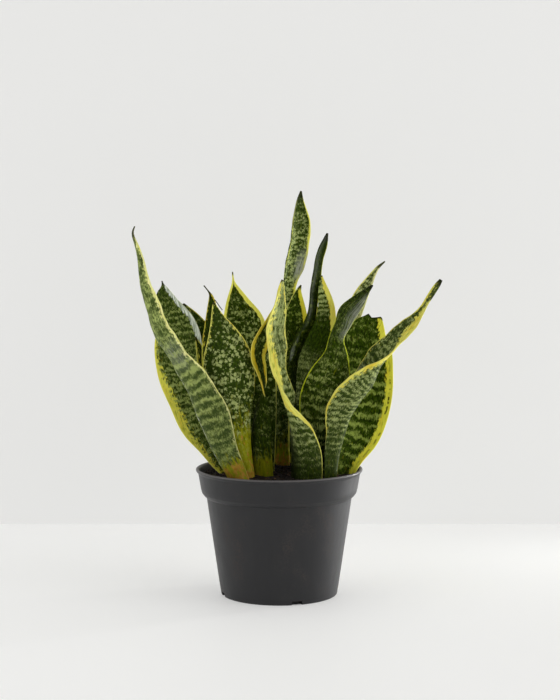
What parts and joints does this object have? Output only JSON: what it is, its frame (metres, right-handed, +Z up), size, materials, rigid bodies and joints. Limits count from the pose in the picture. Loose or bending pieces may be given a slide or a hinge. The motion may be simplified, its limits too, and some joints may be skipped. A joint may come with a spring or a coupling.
{
  "type": "potted futura superba snake plant",
  "caption": "Low broad-leaved variegated snake plant: stiff dark green cross-banded sword leaves with yellow margins, standing in soil in a plain tapered dark grey nursery pot.",
  "frame": {"origin": "centre of the pot's flat underside, on the surface it stands on", "axes": "+Z up along the pot's axis, -Y towards the front of the plant as pictured, +X to the right of that view"},
  "size_m": [0.3017, 0.2105, 0.4042],
  "materials": {
    "pot_plastic": "satin",
    "soil": "rough and crumbly",
    "leaf": "satin, waxy"
  },
  "bodies": {
    "root": {"pot": "pot_plastic", "soil": "soil", "leaf_left_long": "leaf", "leaf_left_broad": "leaf", "leaf_left_back": "leaf", "leaf_left_inner": "leaf", "leaf_left_small": "leaf", "leaf_left_front": "leaf", "leaf_mid_left": "leaf", "leaf_mid_twisted": "leaf", "leaf_front_twisted": "leaf", "leaf_tallest": "leaf", "leaf_mid_dark": "leaf", "leaf_mid_narrow": "leaf", "leaf_right_inner": "leaf", "leaf_right_front": "leaf", "leaf_right_dark": "leaf", "leaf_right_back": "leaf", "leaf_right_broad": "leaf", "leaf_right_long": "leaf", "leaf_back_far_left": "leaf", "leaf_back_left": "leaf", "leaf_back_left_low": "leaf", "leaf_back_middle": "leaf", "leaf_back_right": "leaf", "leaf_back_right_low": "leaf", "leaf_back_far_right": "leaf"}
  },
  "joints": []
}
